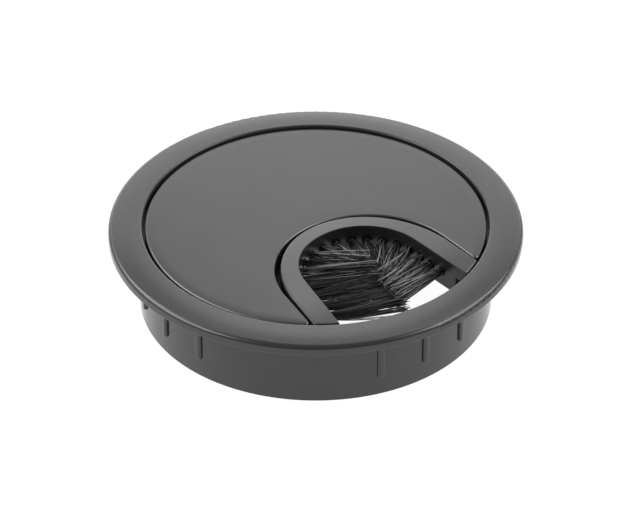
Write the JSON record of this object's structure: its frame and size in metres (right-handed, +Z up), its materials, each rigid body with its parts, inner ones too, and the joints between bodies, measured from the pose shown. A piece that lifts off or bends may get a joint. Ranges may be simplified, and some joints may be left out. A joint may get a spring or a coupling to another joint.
{
  "type": "cable grommet",
  "caption": "Round desk cable grommet: a flanged sleeve with crush ribs, and a lid that turns in it, with a U-shaped outlet lined with bristle tufts.",
  "frame": {"origin": "centre of the sleeve, on the underside of the flange, where it lies on the desk", "axes": "+Z up out of the desk; the outlet in the lid opens towards -Y"},
  "size_m": [0.092, 0.092, 0.02],
  "materials": {
    "sleeve_plastic": "satin",
    "lid_plastic": "fine grain",
    "holder_plastic": "satin",
    "bristle": "nylon bristle",
    "anchor_wire": "plain wire"
  },
  "bodies": {
    "base": {"sleeve": "sleeve_plastic"},
    "lid_unit": {"lid": "lid_plastic", "brush_holder": "holder_plastic", "tuft_anchors": "anchor_wire", "tuft_01": "bristle", "tuft_02": "bristle", "tuft_03": "bristle", "tuft_04": "bristle", "tuft_05": "bristle", "tuft_06": "bristle", "tuft_07": "bristle", "tuft_08": "bristle", "tuft_09": "bristle", "tuft_10": "bristle", "tuft_11": "bristle", "tuft_12": "bristle", "tuft_13": "bristle", "tuft_14": "bristle", "tuft_15": "bristle", "tuft_16": "bristle", "tuft_17": "bristle", "tuft_18": "bristle"}
  },
  "joints": [
    {"name": "lid_turn", "type": "hinge", "parent": "base", "child": "lid_unit", "pos_m": [0, 0, 0], "axis": [0, 0, 1], "continuous": true}
  ]
}
